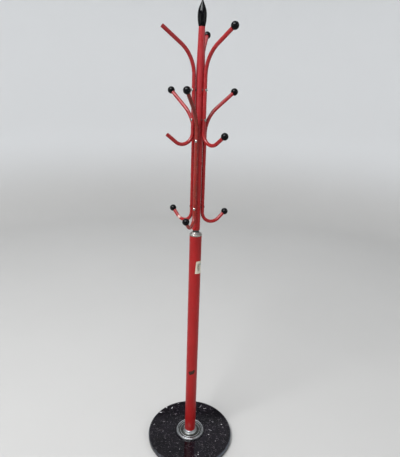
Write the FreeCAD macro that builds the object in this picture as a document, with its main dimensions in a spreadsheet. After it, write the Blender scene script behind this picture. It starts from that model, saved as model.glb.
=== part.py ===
import FreeCAD, Part
import os
import math
from FreeCAD import Vector, Placement, Rotation
import Sketcher

# Revolving coat stand: a stone slab with a fixed tubular post, and above it a
# narrower column that turns on a spindle and carries three upper and three
# lower bent-tube arms.  Millimetres, +Z up.  Origin: on the floor, on the
# post's axis.  Arm bearings are measured from -Y, positive towards +X.

os.makedirs("parts", exist_ok=True)
doc = FreeCAD.newDocument("coat_stand")

# ---------------------------------------------------------------- dimensions
SIZES = [
    # base
    ("pad_rad", 14), ("pad_thick", 2), ("pad_pcr", 145), ("pad_count", 4),
    ("slab_rad", 183.5), ("slab_low", 2), ("slab_high", 21), ("slab_round", 6), ("slab_bevel", 1.5),
    ("slab_bore", 7), ("sump_rad", 32), ("sump_roof", 13),
    ("bolt_rad", 6), ("bolt_top", 60), ("bolt_head_flats", 19), ("bolt_head_low", 2.8),
    ("washer_rad", 25), ("washer_bore", 6.5), ("washer_low", 10),
    # flange and foot ring
    ("flange_rad", 60.5), ("flange_bore", 23.4), ("flange_deck", 25.8), ("flange_crest", 29.4),
    ("ring_rad", 34.2), ("ring_base_high", 27.2), ("ring_top_rad", 24.9), ("ring_top", 39),
    # post
    ("post_rad", 23), ("post_inner", 21), ("post_top", 948.5),
    ("plug_rad", 20.95), ("foot_plug_low", 24), ("foot_plug_high", 54), ("foot_plug_bore", 6.08),
    ("top_plug_low", 904), ("top_plug_high", 932),
    # swivel
    ("collar_rad", 23.9), ("collar_band_high", 953.5), ("collar_top_rad", 14), ("collar_top", 962),
    ("collar_spigot_low", 934), ("collar_spigot_rad", 20.9), ("collar_well_rad", 17),
    ("neck_rad", 11.7), ("neck_high", 969.6), ("thrust_rad", 11.2), ("thrust_high", 970.6),
    ("spindle_rad", 6), ("spindle_high", 1062), ("spindle_bore", 6.06), ("seat_bore", 6.03),
    ("clip_low", 1051.1), ("clip_thick", 1.2), ("clip_rad", 9), ("clip_groove", 5),
    ("bush_rad", 13.15), ("low_bush_high", 992), ("top_bush_low", 1028), ("top_bush_high", 1050),
    # column
    ("column_rad", 15), ("column_inner", 13.2), ("column_low", 971), ("column_taper_from", 1512),
    ("column_high", 1655), ("column_top_rad", 10.4), ("column_top_inner", 8.7),
    # finial
    ("finial_foot_rad", 10.9), ("finial_belly_rad", 14.8), ("finial_belly", 1687.5), ("finial_lower_arc", 133),
    ("finial_shoulder_rad", 10.2), ("finial_shoulder", 1711), ("finial_upper_arc", 62),
    ("finial_tip_rad", 1.5), ("finial_tip_side", 1732), ("finial_tip", 1734), ("finial_spigot_rad", 8.5), ("finial_spigot_low", 1639),
    # arms
    ("arm_rad", 6.35), ("arm_inner", 4.85), ("up_arm_offset", 24.3), ("low_arm_offset", 23.3), ("arm_seat_depth", 0.6),
    ("branch_radius", 115), ("hook_radius", 39), ("tip_setback", 2.5),
    ("up_bend_high", 1506.7), ("up_branch_turn", 55.8), ("up_branch_run", 80.6),
    ("up_bend_low", 1324.8), ("up_hook_turn", 128), ("up_hook_run", 44.2),
    ("low_bend_high", 1318.4), ("low_branch_turn", 50), ("low_branch_run", 83.9),
    ("low_bend_low", 1036), ("low_hook_turn", 134.6), ("low_hook_run", 34.3),
    ("up_screw_low", 1367), ("up_screw_high", 1463), ("low_screw_low", 1056), ("low_screw_high", 1297),
    ("az_upper_left", -61), ("az_upper_right", 44), ("az_upper_rear", 172),
    ("az_lower_left", -128), ("az_lower_front", -18), ("az_lower_right", 112),
    # arm screws and spacers
    ("screw_rad", 2.5), ("screw_hole", 2.65), ("screw_tap", 2.56), ("screw_end", 10.6),
    ("screw_head_rad", 4.75), ("screw_head_edge", 0.9), ("screw_head_high", 3.0), ("screw_dome", 6.5),
    ("recess_long", 2.3), ("recess_wide", 0.5), ("recess_depth", 1.5),
    ("spacer_rad", 4.3), ("spacer_bore", 2.75), ("fit_gap", 0.03),
    # knobs
    ("knob_rad", 12.5), ("knob_mouth", 9.9), ("knob_bore", 6.42),
    # blank label
    ("label_from", 6), ("label_sweep", 78), ("label_low", 798), ("label_high", 850), ("label_inner", 23.02), ("label_outer", 23.2),
]
sheet = doc.addObject("Spreadsheet::Sheet", "Dims")
VAL = {}
for i, (alias, value) in enumerate(SIZES, start=1):
    sheet.set("A%d" % i, alias)
    sheet.set("B%d" % i, str(value))
    sheet.setAlias("B%d" % i, alias)
    VAL[alias] = float(value)
doc.recompute()

FUNCS = {
    "sin": lambda a: math.sin(math.radians(a)),
    "cos": lambda a: math.cos(math.radians(a)),
    "sqrt": math.sqrt,
}


def number(expr):
    """Value of an arithmetic expression over the sheet's aliases, angles in degrees."""
    return Arithmetic(expr).value()


class Arithmetic:
    """Small arithmetic reader for + - * / ( ) names, numbers and sin, cos, sqrt."""

    def __init__(self, text):
        self.toks = []
        i = 0
        while i < len(text):
            c = text[i]
            if c.isspace():
                i += 1
            elif c.isdigit() or c == ".":
                j = i
                while j < len(text) and (text[j].isdigit() or text[j] == "."):
                    j += 1
                self.toks.append(float(text[i:j]))
                i = j
            elif c.isalpha() or c == "_":
                j = i
                while j < len(text) and (text[j].isalnum() or text[j] == "_"):
                    j += 1
                self.toks.append(text[i:j])
                i = j
            else:
                self.toks.append(c)
                i += 1
        self.at = 0

    def peek(self):
        return self.toks[self.at] if self.at < len(self.toks) else None

    def take(self):
        tok = self.peek()
        self.at += 1
        return tok

    def value(self):
        v = self.term()
        while self.peek() in ("+", "-"):
            v = v + self.term() if self.take() == "+" else v - self.term()
        return v

    def term(self):
        v = self.factor()
        while self.peek() in ("*", "/"):
            v = v * self.factor() if self.take() == "*" else v / self.factor()
        return v

    def factor(self):
        tok = self.take()
        if tok == "-":
            return -self.factor()
        if tok == "(":
            v = self.value()
            self.take()
            return v
        if isinstance(tok, float):
            return tok
        if tok in FUNCS:
            self.take()
            v = self.value()
            self.take()
            return FUNCS[tok](v)
        return VAL[tok]


def fc(expr):
    """The same arithmetic with every alias taken from the sheet and every angle in degrees."""
    out = ""
    i = 0
    while i < len(expr):
        c = expr[i]
        if c.isalpha() or c == "_":
            j = i
            while j < len(expr) and (expr[j].isalnum() or expr[j] == "_"):
                j += 1
            word = expr[i:j]
            if word in ("sin", "cos"):
                depth, k = 0, j
                while k < len(expr):
                    depth += expr[k] == "("
                    depth -= expr[k] == ")"
                    k += 1
                    if depth == 0:
                        break
                out += "%s((%s) * 1deg)" % (word, fc(expr[j + 1:k - 1]))
                i = k
                continue
            out += word if word == "sqrt" else "Dims." + word
            i = j
        else:
            out += c
            i += 1
    return out


# ------------------------------------------------------------------- helpers
def origin_of(body, role):
    for feat in body.Origin.OriginFeatures:
        if feat.Role == role:
            return feat
    raise RuntimeError("no origin feature " + role)


def new_body(label, azimuth=None):
    body = doc.addObject("PartDesign::Body", label)
    body.Label = label
    if azimuth:
        body.setExpression("Placement", "placement(vector(0; 0; 0); rotationz(Dims.%s - 90))" % azimuth)
    return body


def new_sketch(body, name, role="XZ_Plane", lift=None, tilt_y=None, shift=None):
    sk = body.newObject("Sketcher::SketchObject", name)
    sk.AttachmentSupport = [(origin_of(body, role), "")]
    sk.MapMode = "FlatFace"
    if lift is not None:
        sk.setExpression("AttachmentOffset.Base.z", fc(lift))
    if shift is not None:
        sk.setExpression("AttachmentOffset", "placement(vector(%s; 0; %s); rotationy(%s))" % (fc(shift[0]), fc(shift[1]), fc(tilt_y)))
    return sk


def pin_point(sk, geo, pos, xe, ye):
    """Fixes a sketch point at sheet-driven coordinates."""
    for kind, expr, axis in (("DistanceX", xe, -2), ("DistanceY", ye, -1)):
        value = number(expr)
        if abs(value) < 1e-9:
            sk.addConstraint(Sketcher.Constraint("PointOnObject", geo, pos, axis))
        else:
            idx = sk.addConstraint(Sketcher.Constraint(kind, -1, 1, geo, pos, value))
            sk.setExpression("Constraints[%d]" % idx, fc(expr))


def outline(sk, pts):
    """Closed profile.  Each entry is (x, y) or (x, y, radius, side): the edge that
    leaves this point is an arc of that radius, bulging to side +1 (left) or -1 (right)."""
    n = len(pts)
    xy = [(number(p[0]), number(p[1])) for p in pts]
    geos = []
    for i in range(n):
        a, b = xy[i], xy[(i + 1) % n]
        if len(pts[i]) == 4:
            rad, side = number(pts[i][2]), pts[i][3]
            mx, my = (a[0] + b[0]) / 2, (a[1] + b[1]) / 2
            dx, dy = b[0] - a[0], b[1] - a[1]
            length = math.hypot(dx, dy)
            off = math.sqrt(max(rad * rad - length * length / 4, 0.0))
            nx, ny = -dy / length * side, dx / length * side
            cx, cy = mx - nx * off, my - ny * off
            apex = Vector(cx + nx * rad, cy + ny * rad, 0)
            # arcs are stored counter-clockwise, so one that bulges left runs backwards
            first, last = (a, b) if side < 0 else (b, a)
            g = sk.addGeometry(Part.Arc(Vector(first[0], first[1], 0), apex, Vector(last[0], last[1], 0)), False)
            geos.append((g, 1, 2, pts[i][2]) if side < 0 else (g, 2, 1, pts[i][2]))
        else:
            g = sk.addGeometry(Part.LineSegment(Vector(a[0], a[1], 0), Vector(b[0], b[1], 0)), False)
            geos.append((g, 1, 2, None))
    for i in range(n):
        g, first, last, rad = geos[i]
        h, hfirst, _, _ = geos[(i + 1) % n]
        sk.addConstraint(Sketcher.Constraint("Coincident", g, last, h, hfirst))
        if rad is not None:
            idx = sk.addConstraint(Sketcher.Constraint("Radius", g, number(rad)))
            sk.setExpression("Constraints[%d]" % idx, fc(rad))
    for i in range(n):
        g, first, last, rad = geos[i]
        pin_point(sk, g, first, pts[i][0], pts[i][1])


def circles(sk, items):
    """items: (x, y, radius) expressions."""
    for xe, ye, re_ in items:
        g = sk.addGeometry(Part.Circle(Vector(number(xe), number(ye), 0), Vector(0, 0, 1), number(re_)), False)
        idx = sk.addConstraint(Sketcher.Constraint("Radius", g, number(re_)))
        sk.setExpression("Constraints[%d]" % idx, fc(re_))
        if abs(number(xe)) < 1e-9 and abs(number(ye)) < 1e-9:
            sk.addConstraint(Sketcher.Constraint("Coincident", g, 3, -1, 1))
        else:
            pin_point(sk, g, 3, xe, ye)


def revolve(body, name, sk, role="Z_Axis", angle=None):
    rev = body.newObject("PartDesign::Revolution", name)
    rev.Profile = sk
    rev.ReferenceAxis = (origin_of(body, role), [""])
    rev.Angle = 360.0
    if angle:
        rev.setExpression("Angle", fc(angle))
    return rev


def pad(body, name, sk, length, midplane=False):
    p = body.newObject("PartDesign::Pad", name)
    p.Profile = sk
    p.setExpression("Length", fc(length))
    if midplane:
        p.SideType = "Symmetric" if "SideType" in p.PropertiesList else p.SideType
    return p


def pocket_through(body, name, sk):
    """Cuts both ways through everything, and checks that it removed material."""
    doc.recompute()
    before = body.Shape.Volume
    p = body.newObject("PartDesign::Pocket", name)
    p.Profile = sk
    if "SideType" in p.PropertiesList:
        p.SideType = "Symmetric"
    else:
        p.Midplane = True
    p.Type = 1
    doc.recompute()
    if not body.Shape.Volume < before - 1e-3:
        raise RuntimeError(name + " removed nothing")
    return p


def pocket_depth(body, name, sk, depth, reverse):
    doc.recompute()
    before = body.Shape.Volume
    p = body.newObject("PartDesign::Pocket", name)
    p.Profile = sk
    p.setExpression("Length", fc(depth))
    p.Reversed = reverse
    doc.recompute()
    if not body.Shape.Volume < before - 1e-3:
        raise RuntimeError(name + " removed nothing")
    return p


def turned(label, pts):
    """A turned piece: one closed half profile revolved about Z."""
    body = new_body(label)
    sk = new_sketch(body, label + "_profile")
    outline(sk, pts)
    revolve(body, label + "_turning", sk)
    return body


PARTS = []


def keep(obj):
    PARTS.append(obj)
    return obj


# ---------------------------------------------------------------- base group
# four rubber pads under the slab
pads = new_body("base_pads")
sk = new_sketch(pads, "pad_outline", "XY_Plane")
circles(sk, [("pad_pcr", "0", "pad_rad")])
pad_one = pad(pads, "pad_disc", sk, "pad_thick")
doc.recompute()
pol = pads.newObject("PartDesign::PolarPattern", "pad_ring")
pol.Originals = [pad_one]
pol.Axis = (origin_of(pads, "Z_Axis"), [""])
pol.Angle = 360
pol.setExpression("Occurrences", "Dims.pad_count")
pads.Tip = pol
pads.setExpression("Placement", "placement(vector(0; 0; 0); rotationz(45))")
keep(pads)

# polished stone slab with a bolt hole and a sump for the bolt head
slab = new_body("base_slab")
sk = new_sketch(slab, "slab_outline", "XY_Plane", lift="slab_low")
circles(sk, [("0", "0", "slab_rad")])
pad(slab, "slab_disc", sk, "slab_high - slab_low")
doc.recompute()
sk = new_sketch(slab, "slab_bore_outline", "XY_Plane", lift="slab_low")
circles(sk, [("0", "0", "slab_bore")])
pocket_through(slab, "slab_bore_cut", sk)
sk = new_sketch(slab, "sump_outline", "XY_Plane", lift="slab_low")
circles(sk, [("0", "0", "sump_rad")])
pocket_depth(slab, "sump_cut", sk, "sump_roof - slab_low", True)


def rim_edge(shape, rad, z):
    for i, e in enumerate(shape.Edges, start=1):
        c = e.Curve
        if hasattr(c, "Radius") and abs(c.Radius - rad) < 1e-3 and abs(e.Vertexes[0].Point.z - z) < 1e-3:
            return "Edge%d" % i
    raise RuntimeError("edge not found")


tip = slab.Tip
fil = slab.newObject("PartDesign::Fillet", "slab_top_round")
fil.Base = (tip, [rim_edge(tip.Shape, VAL["slab_rad"], VAL["slab_high"])])
fil.setExpression("Radius", "Dims.slab_round")
doc.recompute()
tip = slab.Tip
cha = slab.newObject("PartDesign::Chamfer", "slab_lower_bevel")
cha.Base = (tip, [rim_edge(tip.Shape, VAL["slab_rad"], VAL["slab_low"])])
cha.setExpression("Size", "Dims.slab_bevel")
keep(slab)

# clamping washer and bolt, from below
keep(turned("clamp_washer", [
    ("washer_bore", "washer_low"), ("washer_rad", "washer_low"),
    ("washer_rad", "sump_roof"), ("washer_bore", "sump_roof")]))

bolt = new_body("clamp_bolt")
sk = new_sketch(bolt, "bolt_head_outline", "XY_Plane", lift="bolt_head_low")
hexpts = [("bolt_head_flats / 2 / cos(30) * cos(%d)" % a, "bolt_head_flats / 2 / cos(30) * sin(%d)" % a) for a in (30, 90, 150, 210, 270, 330)]
outline(sk, hexpts)
pad(bolt, "bolt_head", sk, "washer_low - bolt_head_low")
doc.recompute()
sk = new_sketch(bolt, "bolt_shank_outline", "XY_Plane", lift="bolt_head_low")
circles(sk, [("0", "0", "bolt_rad")])
pad(bolt, "bolt_shank", sk, "bolt_top - bolt_head_low")
keep(bolt)

# spun flange: outer bead, groove, inner bead, flat deck
keep(turned("base_flange", [
    ("flange_bore", "flange_deck - 1.2"),
    ("52.6", "flange_deck - 1.2"),
    ("55.4", "flange_crest - 1.8"),
    ("57.4", "flange_crest - 2"),
    ("58.9", "slab_high + 3"),
    ("59.0", "slab_high"),
    ("flange_rad", "slab_high"),
    ("flange_rad", "slab_high + 2.2", "6.5", -1),
    ("57.2", "flange_crest", "2.6", -1),
    ("54.0", "flange_crest - 1.4"),
    ("52.4", "flange_deck + 0.3"),
    ("51.4", "flange_deck + 0.3", "1.6", -1),
    ("48.6", "flange_deck + 0.1"),
    ("47.6", "flange_deck"),
    ("flange_bore", "flange_deck")]))

# conical ring that closes the post's foot
keep(turned("post_foot_ring", [
    ("flange_bore", "flange_deck"), ("ring_rad", "flange_deck"), ("ring_rad", "ring_base_high", "40", 1),
    ("ring_top_rad", "ring_top - 1"), ("ring_top_rad - 0.5", "ring_top - 0.2"), ("flange_bore", "ring_top")]))

# fixed post and what is pressed into its two ends
keep(turned("lower_post", [
    ("post_inner", "slab_high"), ("post_rad - 0.4", "slab_high"), ("post_rad", "slab_high + 0.4"),
    ("post_rad", "post_top - 0.4"), ("post_rad - 0.4", "post_top"), ("post_inner", "post_top")]))
keep(turned("post_foot_plug", [
    ("foot_plug_bore", "foot_plug_low"), ("plug_rad - 1", "foot_plug_low"), ("plug_rad", "foot_plug_low + 1"),
    ("plug_rad", "foot_plug_high - 1"), ("plug_rad - 1", "foot_plug_high"), ("foot_plug_bore", "foot_plug_high")]))
keep(turned("post_top_plug", [
    ("seat_bore", "top_plug_low"), ("plug_rad - 1", "top_plug_low"), ("plug_rad", "top_plug_low + 1"),
    ("plug_rad", "top_plug_high - 1"), ("plug_rad - 1", "top_plug_high"), ("seat_bore", "top_plug_high")]))

# swivel: conical cap, neck bush, thrust washer, spindle and its clip
keep(turned("swivel_collar", [
    ("seat_bore + 0.3", "collar_top - 8"), ("collar_well_rad - 3", "collar_top - 10"), ("collar_well_rad", "post_top"),
    ("collar_well_rad", "collar_spigot_low"), ("collar_spigot_rad", "collar_spigot_low"),
    ("collar_spigot_rad", "post_top"), ("collar_rad - 0.4", "post_top"), ("collar_rad", "post_top + 0.4"),
    ("collar_rad", "collar_band_high", "1.4", -1), ("collar_rad - 1", "collar_band_high + 1.4"),
    ("collar_top_rad + 0.8", "collar_top - 0.7", "1.2", -1), ("collar_top_rad", "collar_top"),
    ("seat_bore + 0.3", "collar_top")]))
keep(turned("neck_bush", [
    ("seat_bore + 0.07", "collar_top"), ("neck_rad + 0.7", "collar_top"), ("neck_rad + 0.7", "collar_top + 1"),
    ("neck_rad", "collar_top + 1.6"), ("neck_rad", "neck_high - 0.4"), ("neck_rad - 0.4", "neck_high"),
    ("seat_bore + 0.07", "neck_high")]))
keep(turned("thrust_washer", [
    ("seat_bore + 0.1", "neck_high"), ("thrust_rad", "neck_high"), ("thrust_rad", "thrust_high"), ("seat_bore + 0.1", "thrust_high")]))
keep(turned("spindle", [
    ("0", "top_plug_low"), ("spindle_rad - 1", "top_plug_low"), ("spindle_rad", "top_plug_low + 1"),
    ("spindle_rad", "clip_low - 0.1"), ("clip_groove", "clip_low - 0.1"), ("clip_groove", "clip_low + clip_thick + 0.1"),
    ("spindle_rad", "clip_low + clip_thick + 0.1"), ("spindle_rad", "spindle_high - 1"),
    ("spindle_rad - 1", "spindle_high"), ("0", "spindle_high")]))

clip = new_body("spindle_clip")
sk = new_sketch(clip, "clip_outline", "XY_Plane", lift="clip_low")
circles(sk, [("0", "0", "clip_rad"), ("0", "0", "clip_groove + 0.05")])
pad(clip, "clip_ring", sk, "clip_thick")
doc.recompute()
sk = new_sketch(clip, "clip_gap_outline", "XY_Plane", lift="clip_low")
outline(sk, [("0 - 3.6", "0"), ("3.6", "0"), ("3.6", "clip_rad + 2"), ("0 - 3.6", "clip_rad + 2")])
pocket_through(clip, "clip_gap", sk)
keep(clip)

# blank paper label wrapped round part of the post
label = new_body("paper_label", None)
sk = new_sketch(label, "label_profile")
outline(sk, [("label_inner", "label_low"), ("label_outer", "label_low"), ("label_outer", "label_high"), ("label_inner", "label_high")])
revolve(label, "label_wrap", sk, angle="label_sweep")
label.setExpression("Placement", "placement(vector(0; 0; 0); rotationz(Dims.label_from - 90))")
keep(label)

# ------------------------------------------------------------ turning column
low_bush = keep(turned("column_low_bush", [
    ("spindle_bore", "column_low - 0.3"), ("bush_rad - 0.6", "column_low - 0.3"), ("bush_rad", "column_low + 0.6"),
    ("bush_rad", "low_bush_high"), ("spindle_bore", "low_bush_high")]))
top_bush = keep(turned("column_top_bush", [
    ("spindle_bore", "top_bush_low"), ("bush_rad", "top_bush_low"), ("bush_rad", "top_bush_high"), ("spindle_bore", "top_bush_high")]))

blank = turned("column_blank", [
    ("column_inner", "column_low"), ("column_rad - 0.5", "column_low"), ("column_rad", "column_low + 0.5"),
    ("column_rad", "column_taper_from"), ("column_top_rad", "column_high"), ("column_top_inner", "column_high"),
    ("column_inner", "column_taper_from")])

ARMS = [
    ("upper_arm_left", "az_upper_left", "up"),
    ("upper_arm_right", "az_upper_right", "up"),
    ("upper_arm_rear", "az_upper_rear", "up"),
    ("lower_arm_left", "az_lower_left", "low"),
    ("lower_arm_front", "az_lower_front", "low"),
    ("lower_arm_right", "az_lower_right", "low"),
]
drills = []
for name, az, tier in ARMS:
    for which in ("low", "high"):
        hole = doc.addObject("Part::Cylinder", "tap_%s_%s" % (name, which))
        hole.setExpression("Radius", "Dims.screw_tap")
        hole.Height = 14
        hole.setExpression("Placement", "placement(vector(5 * sin(Dims.%s * 1deg); -5 * cos(Dims.%s * 1deg); Dims.%s_screw_%s); rotationz(Dims.%s - 90) * rotationy(90))" % (az, az, tier, which, az))
        drills.append(hole)
doc.recompute()
drill_set = doc.addObject("Part::MultiFuse", "column_taps")
drill_set.Shapes = drills
column = doc.addObject("Part::Cut", "column_tube")
column.Base = blank
column.Tool = drill_set
column.Label = "column_tube"
keep(column)

# turned finial with a spigot in the column's top
keep(turned("finial", [
    ("0", "finial_spigot_low"), ("finial_spigot_rad - 0.8", "finial_spigot_low"), ("finial_spigot_rad", "finial_spigot_low + 0.8"),
    ("finial_spigot_rad", "column_high"), ("finial_foot_rad - 0.5", "column_high"), ("finial_foot_rad", "column_high + 0.5", "finial_lower_arc", -1),
    ("finial_belly_rad", "finial_belly", "finial_upper_arc", -1), ("finial_shoulder_rad", "finial_shoulder"),
    ("finial_tip_rad", "finial_tip_side"), ("finial_tip_rad * 0.6", "finial_tip - 0.6"), ("0", "finial_tip")]))


# --------------------------------------------------------------------- arms
def bend_spine(sk, tier):
    """Spine in the local XZ plane: branch run, branch bend, straight, hook bend, hook run."""
    off = number(tier + "_arm_offset")
    zt, zb = number(tier + "_bend_high"), number(tier + "_bend_low")
    r1, r2 = VAL["branch_radius"], VAL["hook_radius"]
    t1, t2 = math.radians(VAL[tier + "_branch_turn"]), math.radians(VAL[tier + "_hook_turn"])
    l1 = VAL[tier + "_branch_run"] - VAL["tip_setback"]
    l2 = VAL[tier + "_hook_run"] - VAL["tip_setback"]
    b1 = (off + r1 * (1 - math.cos(t1)), zt + r1 * math.sin(t1))
    top = (b1[0] + l1 * math.sin(t1), b1[1] + l1 * math.cos(t1))
    b2 = (off + r2 * (1 - math.cos(t2)), zb - r2 * math.sin(t2))
    end = (b2[0] + l2 * math.sin(t2), b2[1] - l2 * math.cos(t2))
    mid1 = (off + r1 * (1 - math.cos(t1 / 2)), zt + r1 * math.sin(t1 / 2))
    mid2 = (off + r2 * (1 - math.cos(t2 / 2)), zb - r2 * math.sin(t2 / 2))

    def v(p):
        return Vector(p[0], p[1], 0)

    g0 = sk.addGeometry(Part.LineSegment(v(top), v(b1)), False)
    g1 = sk.addGeometry(Part.Arc(v(b1), v(mid1), v((off, zt))), False)
    g2 = sk.addGeometry(Part.LineSegment(v((off, zt)), v((off, zb))), False)
    g3 = sk.addGeometry(Part.Arc(v((off, zb)), v(mid2), v(b2)), False)
    g4 = sk.addGeometry(Part.LineSegment(v(b2), v(end)), False)

    def ends(g, p):
        geo = sk.Geometry[g]
        return 1 if math.hypot(geo.StartPoint.x - p[0], geo.StartPoint.y - p[1]) < 1e-6 else 2

    for a, b, p in ((g0, g1, b1), (g1, g2, (off, zt)), (g2, g3, (off, zb)), (g3, g4, b2)):
        sk.addConstraint(Sketcher.Constraint("Tangent", a, ends(a, p), b, ends(b, p)))
    sk.addConstraint(Sketcher.Constraint("Vertical", g2))

    def drive(con, expr):
        idx = sk.addConstraint(con)
        sk.setExpression("Constraints[%d]" % idx, fc(expr))

    drive(Sketcher.Constraint("DistanceX", -1, 1, g2, 1, off), tier + "_arm_offset")
    drive(Sketcher.Constraint("DistanceY", -1, 1, g2, 1, zt), tier + "_bend_high")
    drive(Sketcher.Constraint("DistanceY", -1, 1, g2, 2, zb), tier + "_bend_low")
    drive(Sketcher.Constraint("Radius", g1, r1), "branch_radius")
    drive(Sketcher.Constraint("Radius", g3, r2), "hook_radius")
    drive(Sketcher.Constraint("Distance", g0, l1), tier + "_branch_run - tip_setback")
    drive(Sketcher.Constraint("Distance", g4, l2), tier + "_hook_run - tip_setback")
    drive(Sketcher.Constraint("DistanceX", -1, 1, g1, ends(g1, b1), b1[0]), "%s_arm_offset + branch_radius * (1 - cos(%s_branch_turn))" % (tier, tier))
    drive(Sketcher.Constraint("DistanceX", -1, 1, g3, ends(g3, b2), b2[0]), "%s_arm_offset + hook_radius * (1 - cos(%s_hook_turn))" % (tier, tier))
    return top


TOP_X = "{t}_arm_offset + branch_radius * (1 - cos({t}_branch_turn)) + ({t}_branch_run - {s}) * sin({t}_branch_turn)"
TOP_Z = "{t}_bend_high + branch_radius * sin({t}_branch_turn) + ({t}_branch_run - {s}) * cos({t}_branch_turn)"
END_X = "{t}_arm_offset + hook_radius * (1 - cos({t}_hook_turn)) + ({t}_hook_run - {s}) * sin({t}_hook_turn)"
SEAT = "{t}_arm_offset + arm_rad - arm_seat_depth"
END_Z = "{t}_bend_low - hook_radius * sin({t}_hook_turn) - ({t}_hook_run - {s}) * cos({t}_hook_turn)"

for name, az, tier in ARMS:
    arm = new_body(name, az)
    spine = new_sketch(arm, name + "_spine")
    bend_spine(spine, tier)
    prof = new_sketch(arm, name + "_section", "XY_Plane",
                      shift=(TOP_X.format(t=tier, s="tip_setback"), TOP_Z.format(t=tier, s="tip_setback")),
                      tilt_y=tier + "_branch_turn")
    circles(prof, [("0", "0", "arm_rad"), ("0", "0", "arm_inner")])
    doc.recompute()
    pipe = arm.newObject("PartDesign::AdditivePipe", name + "_tube")
    pipe.Profile = prof
    pipe.Spine = (spine, ["Edge%d" % (i + 1) for i in range(5)])
    doc.recompute()
    # through holes for the two screws, and a small flat seat under each head
    sk = new_sketch(arm, name + "_screw_holes", "YZ_Plane")
    circles(sk, [("0", tier + "_screw_low", "screw_hole"), ("0", tier + "_screw_high", "screw_hole")])
    pocket_through(arm, name + "_screw_drill", sk)
    sk = new_sketch(arm, name + "_seats", "YZ_Plane", lift=SEAT.format(t=tier))
    circles(sk, [("0", tier + "_screw_low", "screw_head_rad + 0.1"), ("0", tier + "_screw_high", "screw_head_rad + 0.1")])
    pocket_depth(arm, name + "_seat_cut", sk, "4", True)
    keep(arm)

# ------------------------------------------- arm screws and spacers, per arm
def second_of_pair(body, name, feature, tier):
    """Repeats a feature one screw spacing higher."""
    doc.recompute()
    pat = body.newObject("PartDesign::LinearPattern", name)
    pat.Originals = feature
    pat.Direction = (origin_of(body, "Z_Axis"), [""])
    pat.setExpression("Length", fc("%s_screw_high - %s_screw_low" % (tier, tier)))
    pat.Occurrences = 2
    body.Tip = pat
    doc.recompute()
    return pat


for name, az, tier in ARMS:
    stem = name.replace("_arm", "")
    seat = SEAT.format(t=tier)
    screws = new_body(stem + "_screws", az)
    sk = new_sketch(screws, stem + "_screw_profile")
    sk.setExpression("AttachmentOffset.Base.y", fc(tier + "_screw_low"))
    outline(sk, [
        ("screw_end", "0"), (seat + " + screw_head_high", "0", "screw_dome", -1),
        (seat + " + screw_head_edge", "screw_head_rad"), (seat, "screw_head_rad"),
        (seat, "screw_rad"), ("screw_end + 0.8", "screw_rad"), ("screw_end", "screw_rad - 0.8")])
    rev = screws.newObject("PartDesign::Revolution", stem + "_screw_turning")
    rev.Profile = sk
    rev.ReferenceAxis = (sk, ["H_Axis"])
    rev.Angle = 360.0
    doc.recompute()
    # cross recess in the head
    sk = new_sketch(screws, stem + "_recess_outline", "YZ_Plane", lift=seat + " + screw_head_high")
    sk.setExpression("AttachmentOffset.Base.y", fc(tier + "_screw_low"))
    a, b = "recess_long", "recess_wide"
    outline(sk, [
        (b, "0 - " + a), (b, "0 - " + b), (a, "0 - " + b), (a, b), (b, b), (b, a),
        ("0 - " + b, a), ("0 - " + b, b), ("0 - " + a, b), ("0 - " + a, "0 - " + b), ("0 - " + b, "0 - " + b), ("0 - " + b, "0 - " + a)])
    cut = pocket_depth(screws, stem + "_recess", sk, "recess_depth", False)
    second_of_pair(screws, stem + "_screw_pair", [rev, cut], tier)
    keep(screws)

    spacers = new_body(stem + "_spacers", az)
    sk = new_sketch(spacers, stem + "_spacer_outline", "YZ_Plane")
    low, high = tier + "_screw_low", tier + "_screw_high"
    circles(sk, [("0", low, "spacer_rad"), ("0", low, "spacer_bore"), ("0", high, "spacer_rad"), ("0", high, "spacer_bore")])
    pad(spacers, stem + "_spacer_blank", sk, tier + "_arm_offset")
    sk = new_sketch(spacers, stem + "_saddle_outline", "XY_Plane")
    circles(sk, [("0", "0", "column_rad + fit_gap")])
    pocket_through(spacers, stem + "_column_saddle", sk)
    sk = new_sketch(spacers, stem + "_arm_saddle_outline", "XY_Plane")
    circles(sk, [(tier + "_arm_offset", "0", "arm_rad + fit_gap")])
    pocket_through(spacers, stem + "_arm_saddle", sk)
    keep(spacers)


# -------------------------------------------------------------------- knobs
def knob(label, az, tier, end):
    """Ball with a blind socket; local +Z points out along the tube it is pushed on."""
    body = turned(label, [
        ("knob_bore", "0 - knob_mouth"), ("sqrt(knob_rad * knob_rad - knob_mouth * knob_mouth)", "0 - knob_mouth", "knob_rad", -1),
        ("0", "knob_rad"), ("0", "0.1 - tip_setback"), ("knob_bore", "0.1 - tip_setback")])
    if end == "branch":
        x, z, tilt = TOP_X.format(t=tier, s="0"), TOP_Z.format(t=tier, s="0"), "Dims.%s_branch_turn" % tier
    else:
        x, z, tilt = END_X.format(t=tier, s="0"), END_Z.format(t=tier, s="0"), "180 - Dims.%s_hook_turn" % tier
    body.setExpression("Placement", "placement(vector((%s) * sin(Dims.%s * 1deg); -(%s) * cos(Dims.%s * 1deg); %s); rotationz(Dims.%s - 90) * rotationy(%s))" % (fc(x), az, fc(x), az, fc(z), az, tilt))
    return keep(body)


# the upper left arm carries no knobs: both its tube ends are open
for name, az, tier in ARMS:
    if name == "upper_arm_left":
        continue
    stem = name.replace("_arm", "")
    knob(stem + "_branch_knob", az, tier, "branch")
    knob(stem + "_hook_knob", az, tier, "hook")

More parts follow.
